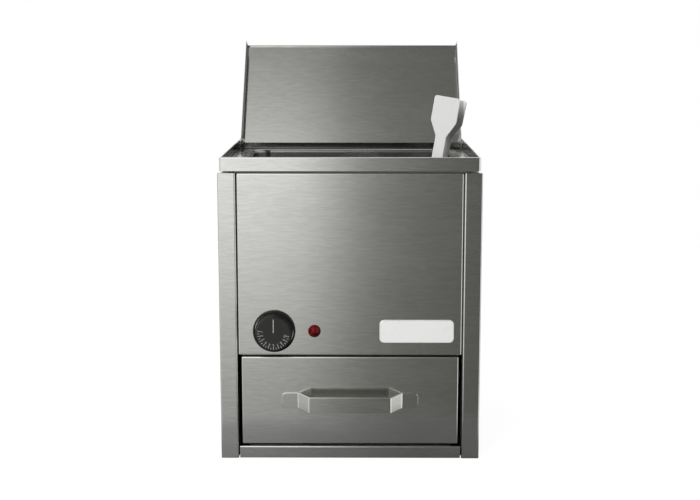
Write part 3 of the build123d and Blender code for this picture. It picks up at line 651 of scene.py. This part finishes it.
def shared_groups():
    """The three node groups, made once."""
    have = bpy.data.node_groups
    makers = {"brush": ("Brush lines", brush_group), "grain": ("Moulded grain", grain_group),
              "marks": ("Wiping marks", marks_group)}
    return {key: have.get(name) or make() for key, (name, make) in makers.items()}


# Shared mesh helpers

def mesh_piece(name, shape, material, body):
    """Turn a bmesh into a piece that rides on a body."""
    bmesh.ops.remove_doubles(shape, verts=shape.verts, dist=1e-7)
    bmesh.ops.recalc_face_normals(shape, faces=shape.faces)
    mesh = bpy.data.meshes.new(name)
    shape.to_mesh(mesh)
    shape.free()
    piece = bpy.data.objects.new(name, mesh)
    bpy.context.scene.collection.objects.link(piece)
    mesh.materials.append(material)
    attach(piece, body)


def bar(shape, length, width, height, place):
    """Add a block to a bmesh; it lies along local Y, its middle at the place."""
    made = bmesh.ops.create_cube(shape, size=1.0)["verts"]
    bmesh.ops.scale(shape, vec=(width, length, height), verts=made)
    bmesh.ops.transform(shape, matrix=place, verts=made)


def on_dial(angle, radius):
    """Place on the dial's face, local +Y pointing outwards at a clockwise angle, +Z out of it."""
    middle = Matrix.Translation((DIAL_X, DIAL_FACE_Y, DIAL_Z))
    face = middle @ Matrix.Rotation(math.radians(90), 4, "X")
    return face @ Matrix.Rotation(-angle, 4, "Z") @ Matrix.Translation((0, radius, 0))


class WARMER_OT_casing(bpy.types.Operator):
    """Finish the casing, its rail, back and the drawer's front"""

    bl_idname = "warmer.casing"
    bl_label = "Casing"

    def execute(self, context):
        finish = context.scene.warmer_finish
        groups = shared_groups()
        colour, rough, across = finish.steel_tone, finish.steel_roughness, finish.brush_fineness
        casing = brushed_steel("Casing steel", groups, colour, rough, across)
        self.paint_bend_shade(casing)
        dress(casing, "left_side_panel", "right_side_panel", "bottom_rail", "back_panel")
        for label, name in (("Panel steel", "front_panel"), ("Drawer steel", "drawer_front")):
            tray = brushed_steel(label, groups, colour, rough, across)
            self.paint_lap_shade(tray, name)
            dress(tray, name)
        collar = brushed_steel("Collar steel", groups, colour, rough, across)
        self.paint_recess_shade(collar)
        dress(collar, "top_collar")
        bright = dull_metal("Bright fasteners", groups, (0.62, 0.63, 0.63), roughness=0.22,
                            low=0.94, high=1.04)
        dress(bright, *FASTENERS)
        return {"FINISHED"}

    def paint_lap_shade(self, material, name):
        """Paint shade on the laps behind a tray's face, for the dark of the gap round it."""
        tree, shader, place = opened(material)
        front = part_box(name)[0].y
        laps = fade(tree, split(tree, place)["Y"], front + LAP_START, front + LAP_DEPTH)
        shade(tree, shader, laps, LAP_SHADE)

    def paint_bend_shade(self, material):
        """Paint shade on the far edges of the side panels' front bends."""
        tree, shader, place = opened(material)
        parts = split(tree, place)
        low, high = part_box("left_side_panel")[0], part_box("right_side_panel")[1]
        left, right = low.x + BEND_REACH, high.x - BEND_REACH
        outside = plus(tree, fade(tree, parts["X"], left, left - BEND_SOFT),
                       fade(tree, parts["X"], right, right + BEND_SOFT))
        back = low.y + BEND_DEPTH
        front = fade(tree, parts["Y"], back + BEND_SOFT, back)
        shade(tree, shader, times(tree, outside, front), BEND_SHADE)

    def paint_recess_shade(self, material):
        """Paint shade on the rim's inside walls, darker than the polished outside."""
        tree, shader, place = opened(material)
        low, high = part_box("top_collar")
        sink = Vector((RIM_WIDTH, RIM_WIDTH, RIM_EDGE))
        recess = within(tree, place, low + sink, high - sink, RECESS_SOFT)
        walls = inverse(tree, level_faces(tree))
        shade(tree, shader, times(tree, recess, walls), RECESS_SHADE)


class WARMER_OT_pan_and_lid(bpy.types.Operator):
    """Finish the lift-out pan and the lid"""

    bl_idname = "warmer.pan_and_lid"
    bl_label = "Pan and lid"

    def execute(self, context):
        finish = context.scene.warmer_finish
        groups = shared_groups()
        colour, rough = finish.steel_tone, finish.steel_roughness
        # The pan's steel is darkened as a painted shade for the well it sits in.
        pan = brushed_steel("Pan steel", groups, tone(colour, PAN_SHADE), roughness=rough + 0.06,
                            across=700.0, bump=0.3, marks=0.12)
        dress(pan, "food_pan")
        lid = brushed_steel("Lid steel", groups, colour, rough, finish.brush_fineness)
        self.paint_hem_shade(lid)
        dress(lid, "lid_panel")
        return {"FINISHED"}

    def paint_hem_shade(self, material):
        """Paint shade on the lid's hemmed sides, more on the left than on the right."""
        tree, shader, place = opened(material)
        across = split(tree, place)["X"]
        low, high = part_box("lid_panel")
        left, right = low.x + LID_HEM, high.x - LID_HEM
        shade(tree, shader, fade(tree, across, left, left - HEM_EDGE), LEFT_HEM_SHADE)
        shade(tree, shader, fade(tree, across, right, right + HEM_EDGE), RIGHT_HEM_SHADE)


class WARMER_OT_drawer(bpy.types.Operator):
    """Finish the drawer's box and its handle"""

    bl_idname = "warmer.drawer"
    bl_label = "Drawer"

    def execute(self, context):
        finish = context.scene.warmer_finish
        groups = shared_groups()
        colour, rough = finish.steel_tone, finish.steel_roughness
        box = brushed_steel("Drawer sheet", groups, tone(colour, BOX_TONE), roughness=0.38,
                            across=900.0, bump=0.2, marks=0.1)
        dress(box, "drawer_box")
        handle = brushed_steel("Handle steel", groups, colour, roughness=rough - 0.04,
                               across=finish.brush_fineness)
        dress(handle, "drawer_handle")
        return {"FINISHED"}


class WARMER_OT_dial(bpy.types.Operator):
    """Finish the knob and print its pointer, ticks and figures"""

    bl_idname = "warmer.dial"
    bl_label = "Dial"

    def execute(self, context):
        finish, dial = context.scene.warmer_finish, context.scene.warmer_dial
        groups = shared_groups()
        knob = moulded_plastic("Dial black", groups, finish.dial_tone, roughness=0.42,
                               fineness=1800.0, bump=0.35, shine=0.1)
        self.paint_flank_shade(knob)
        dress(knob, "control_knob")
        skirt = moulded_plastic("Skirt black", groups, tone(finish.dial_tone, SKIRT_TONE),
                                roughness=0.34, shine=0.12)
        dress(skirt, "knob_skirt")
        ink = moulded_plastic("Dial print", groups, finish.print_tone, roughness=0.5,
                              fineness=3000.0, bump=0.1)
        step = (dial.last_angle - dial.first_angle) / (dial.figures - 1)
        mesh_piece("dial_pointer", self.pointer(dial), ink, "knob")
        mesh_piece("dial_ticks", self.ticks(dial, step), ink, "knob")
        mesh_piece("dial_figures", self.figures(dial, step), ink, "knob")
        return {"FINISHED"}

    def paint_flank_shade(self, material):
        """Paint shade on the knob's fluted flank, where its faces turn away from the front."""
        tree, shader = opened(material)[:2]
        shade(tree, shader, fade(tree, normal_parts(tree)["Y"], *FLANK_NORMALS), FLANK_SHADE)

    def pointer(self, dial):
        """The printed line, as a bmesh."""
        shape = bmesh.new()
        bar(shape, dial.pointer_length, dial.pointer_width, PRINT_RISE,
            on_dial(0.0, POINTER_END - dial.pointer_length / 2))
        return shape

    def ticks(self, dial, step):
        """A long tick at each figure and a short one between two figures, as a bmesh."""
        shape = bmesh.new()
        for half in range(2 * dial.figures - 1):
            length = dial.long_tick if half % 2 == 0 else dial.short_tick
            angle = dial.first_angle + step * half / 2
            place = on_dial(angle, dial.tick_radius - length / 2)
            bar(shape, length, dial.tick_width, PRINT_RISE, place)
        return shape

    def figures(self, dial, step):
        """The plain numbers of the scale, as a bmesh."""
        shape = bmesh.new()
        for index in range(dial.figures):
            text = bpy.data.curves.new(f"figure_{index}", "FONT")
            text.body = str(index + 1)
            text.align_x, text.align_y = "CENTER", "CENTER"
            text.size = dial.figure_height * TEXT_SCALE
            text.extrude = PRINT_RISE / 2
            text.resolution_u = 3
            flat = bpy.data.objects.new(text.name, text)
            mesh = bpy.data.meshes.new_from_object(flat)
            start = len(shape.verts)
            shape.from_mesh(mesh)
            shape.verts.ensure_lookup_table()
            place = on_dial(dial.first_angle + step * index, dial.figure_radius)
            bmesh.ops.transform(shape, matrix=place, verts=shape.verts[start:])
            bpy.data.objects.remove(flat)
            bpy.data.curves.remove(text)
            bpy.data.meshes.remove(mesh)
        return shape


class WARMER_OT_lamp_and_badge(bpy.types.Operator):
    """Finish the pilot lamp and the plain badge plate"""

    bl_idname = "warmer.lamp_and_badge"
    bl_label = "Lamp and badge"

    def execute(self, context):
        finish = context.scene.warmer_finish
        groups = shared_groups()
        dress(lens_plastic("Lens red", groups, finish.lens_tone), "pilot_lens")
        badge = moulded_plastic("Badge white", groups, finish.badge_tone, roughness=0.30,
                                fineness=1200.0, bump=0.04, spread=0.01)
        self.paint_edge_shade(badge)
        dress(badge, "badge_plate")
        return {"FINISHED"}

    def paint_edge_shade(self, material):
        """Paint shade on the badge's domed edge, darker than its middle."""
        tree, shader, place = opened(material)
        low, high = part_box("badge_plate")
        inset = Vector((BADGE_EDGE, 0, BADGE_EDGE))
        middle = within(tree, place, low + inset, high - inset, BADGE_EDGE)
        shade(tree, shader, inverse(tree, middle), BADGE_EDGE_SHADE)


class WARMER_OT_tongs(bpy.types.Operator):
    """Finish the moulded tongs"""

    bl_idname = "warmer.tongs"
    bl_label = "Tongs"

    def execute(self, context):
        groups = shared_groups()
        look = {"colour": context.scene.warmer_finish.tongs_tone, "roughness": 0.32,
                "fineness": 900.0, "bump": 0.1, "spread": 0.02}
        white = moulded_plastic("Tongs white", groups, **look)
        dress(white, "tongs_front_arm", "tongs_spring")
        # The rear arm's material carries a painted shadow of the front blade.
        shaded = moulded_plastic("Tongs white, painted shadow", groups, **look)
        self.paint_inner_shadow(shaded)
        dress(shaded, "tongs_rear_arm")
        return {"FINISHED"}

    def paint_inner_shadow(self, material):
        """Paint the front blade's shadow on the rear arm's face behind it, apart from tip and outer
        edge.
        """
        tree, shader, place = opened(material)
        low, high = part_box("tongs_rear_arm")
        behind = within(tree, place, low, high - Vector((TIP_SIDE, 0, TIP_TOP)), TIP_SOFT)
        facing = fade(tree, normal_parts(tree)["Y"], *INNER_NORMALS)
        shade(tree, shader, times(tree, behind, facing), INNER_SHADOW)


class WARMER_OT_wiring(bpy.types.Operator):
    """Finish the parts inside the casing and add the gland's grip ribs"""

    bl_idname = "warmer.wiring"
    bl_label = "Inner parts and gland"

    def execute(self, context):
        groups = shared_groups()
        for makes, table in ((dull_metal, INNER_METALS), (moulded_plastic, INNER_PLASTICS)):
            for name, colour, roughness, pieces in table:
                dress(makes(name, groups, colour, roughness), *pieces)
        nylon = moulded_plastic("Gland nylon", groups, (0.035, 0.035, 0.035), roughness=0.42)
        dress(nylon, "cable_gland", "gland_nut")
        mesh_piece("gland_grip_ribs", self.ribs(), nylon, "cabinet")
        return {"FINISHED"}

    def ribs(self):
        """The ring of bevelled ribs on the gland's cap, as a bmesh."""
        shape = bmesh.new()
        middle = Matrix.Translation((GLAND_X, gland_high.y - GLAND_CAP / 2, GLAND_Z))
        out = Matrix.Translation((GLAND_RADIUS, 0, 0)) @ Matrix.Rotation(GLAND_LEAN, 4, "Z")
        for index in range(GRIP_RIBS):
            turn = Matrix.Rotation(math.tau * index / GRIP_RIBS, 4, "Y")
            bar(shape, RIB_LENGTH, RIB_WIDTH, RIB_HEIGHT, middle @ turn @ out)
        bmesh.ops.bevel(shape, geom=shape.edges[:], offset=RIB_EDGE, offset_type="OFFSET",
                        segments=1, profile=0.5, affect="EDGES", material=-1)
        return shape


class WARMER_OT_stage(bpy.types.Operator):
    """Set up the pale floor, the soft studio light and the camera"""

    bl_idname = "warmer.stage"
    bl_label = "Stage"

    def execute(self, context):
        stage = context.scene.warmer_stage
        self.floor()
        self.surroundings(context.scene, stage)
        self.lamp(context.scene, stage)
        self.camera(context.scene, stage)
        context.scene.view_settings.view_transform = "Standard"
        return {"FINISHED"}

    def floor(self):
        """A pale table top that the background runs into."""
        shape = bmesh.new()
        corners = bmesh.ops.create_grid(shape, x_segments=1, y_segments=1, size=1.0)["verts"]
        bmesh.ops.scale(shape, vec=FLOOR_SCALE, verts=corners)
        bmesh.ops.translate(shape, vec=FLOOR_PLACE, verts=corners)
        mesh = bpy.data.meshes.new("floor")
        shape.to_mesh(mesh)
        shape.free()
        floor = bpy.data.objects.new("floor", mesh)
        bpy.context.scene.collection.objects.link(floor)
        material, tree, shader, place = start_material("Pale floor")
        shader.inputs["Base Color"].default_value = (FLOOR_TONE, FLOOR_TONE, FLOOR_TONE, 1)
        shader.inputs["Roughness"].default_value = 0.9
        path = node(tree, "ShaderNodeLightPath").outputs
        direct = larger(tree, path["Is Camera Ray"], path["Is Transmission Ray"])
        parts = split(tree, place)
        around = larger(tree, fade(tree, parts["Y"], *FLOOR_BACK),
                        both_sides(tree, parts["X"], *FLOOR_SIDES))
        ahead = times(tree, fade(tree, parts["X"], *FLOOR_FRONT), FLOOR_FRONT_GLOW)
        mirrored = times(tree, larger(tree, around, ahead), path["Is Glossy Ray"])
        glow = node(tree, "ShaderNodeEmission")
        glow.inputs["Color"].default_value = WHITE
        tree.links.new(times(tree, larger(tree, direct, mirrored), FLOOR_GLOW),
                       glow.inputs["Strength"])
        both = node(tree, "ShaderNodeAddShader")
        tree.links.new(shader.outputs[0], both.inputs[0])
        tree.links.new(glow.outputs[0], both.inputs[1])
        tree.links.new(both.outputs[0], tree.nodes["Material Output"].inputs["Surface"])
        mesh.materials.append(material)

    def surroundings(self, scene, stage):
        """A white background, and a dim room with wide soft lights for what the metal reflects."""
        world = bpy.data.worlds.new("Studio")
        scene.world = world
        world.use_nodes = True
        tree = world.node_tree
        background = tree.nodes["Background"]
        parts = split(tree, node(tree, "ShaderNodeTexCoord").outputs["Generated"])
        height = math_node(tree, "ARCTAN2", parts["Z"], times(tree, parts["Y"], -1.0))
        path = node(tree, "ShaderNodeLightPath").outputs

        near = times(tree, fade(tree, parts["X"], *NEAR_SPAN), NEAR_SHARE)
        wide = times(tree, fade(tree, parts["X"], *WIDE_SPAN), WIDE_SHARE)
        across = times(tree, plus(tree, near, wide), fade(tree, parts["X"], *FAR_LEFT_SPAN))
        upward = times(tree, fade(tree, height, *LIGHT_FOOT), fade(tree, height, *LIGHT_TOP))
        window = times(tree, times(tree, across, upward), stage.window_strength)
        sides = times(tree, both_sides(tree, parts["X"], *SIDES_SPAN), path["Is Glossy Ray"])
        around = larger(tree, fade(tree, parts["Y"], *BACKDROP_SPAN), sides)
        behind = times(tree, around, stage.backdrop_strength)
        overhead = times(tree, fade(tree, height, *CEILING_HEIGHTS),
                         fade(tree, parts["X"], *CEILING_SPAN))
        light = plus(tree, plus(tree, window, behind), times(tree, overhead, CEILING_GLOW))

        room = mix_colours(tree, 1.0, (*stage.room_tone, 1), light, "ADD")
        seen = larger(tree, path["Is Camera Ray"], path["Is Transmission Ray"])
        tree.links.new(mix_colours(tree, seen, room, WHITE), background.inputs["Color"])
        background.inputs["Strength"].default_value = 1.0

    def lamp(self, scene, stage):
        """One wide soft lamp at the front left, which the metal doesn't mirror."""
        lamp = bpy.data.lights.new("Soft lamp", "AREA")
        lamp.shape = "DISK"
        lamp.size = LAMP_SIZE
        lamp.energy = stage.lamp_power
        holder = bpy.data.objects.new("Soft lamp", lamp)
        holder.location = LAMP_PLACE
        aim = LAMP_TARGET - LAMP_PLACE
        holder.rotation_euler = aim.to_track_quat("-Z", "Y").to_euler()
        holder.visible_glossy = False
        scene.collection.objects.link(holder)

    def camera(self, scene, stage):
        """A camera that sees the warmer as the photograph does."""
        camera = bpy.data.cameras.new("Camera")
        camera.sensor_width = 36.0
        camera.lens = stage.camera_lens
        holder = bpy.data.objects.new("Camera", camera)
        holder.location = stage.camera_place
        holder.rotation_euler = (math.radians(90) - stage.camera_pitch, 0, stage.camera_yaw)
        scene.collection.objects.link(holder)
        scene.camera = holder


class WARMER_PT_panel(bpy.types.Panel):
    """Lists the warmer's finishes, sizes and steps."""

    bl_idname = "WARMER_PT_panel"
    bl_label = "Bun warmer"
    bl_space_type = "VIEW_3D"
    bl_region_type = "UI"
    bl_category = "Bun warmer"

    def draw(self, context):
        layout = self.layout
        scene = context.scene
        for group in (scene.warmer_finish, scene.warmer_dial, scene.warmer_stage):
            box = layout.box()
            for name in group.__annotations__:
                box.prop(group, name)
        for step in STEPS:
            layout.operator(step.bl_idname)


GROUPS = (WarmerFinish, WarmerDial, WarmerStage)
STEPS = (WARMER_OT_casing, WARMER_OT_pan_and_lid, WARMER_OT_drawer, WARMER_OT_dial,
         WARMER_OT_lamp_and_badge, WARMER_OT_tongs, WARMER_OT_wiring, WARMER_OT_stage)


def register():
    """Register the classes and hang their values on the scene."""
    for kind in (*GROUPS, *STEPS, WARMER_PT_panel):
        bpy.utils.register_class(kind)
    bpy.types.Scene.warmer_finish = PointerProperty(type=WarmerFinish)
    bpy.types.Scene.warmer_dial = PointerProperty(type=WarmerDial)
    bpy.types.Scene.warmer_stage = PointerProperty(type=WarmerStage)


def unregister():
    """Undo register."""
    del bpy.types.Scene.warmer_stage
    del bpy.types.Scene.warmer_dial
    del bpy.types.Scene.warmer_finish
    for kind in reversed((*GROUPS, *STEPS, WARMER_PT_panel)):
        bpy.utils.unregister_class(kind)


def main():
    """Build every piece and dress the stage."""
    register()
    bpy.ops.warmer.casing()
    bpy.ops.warmer.pan_and_lid()
    bpy.ops.warmer.drawer()
    bpy.ops.warmer.dial()
    bpy.ops.warmer.lamp_and_badge()
    bpy.ops.warmer.tongs()
    bpy.ops.warmer.wiring()
    bpy.ops.warmer.stage()


if __name__ == "__main__":
    main()
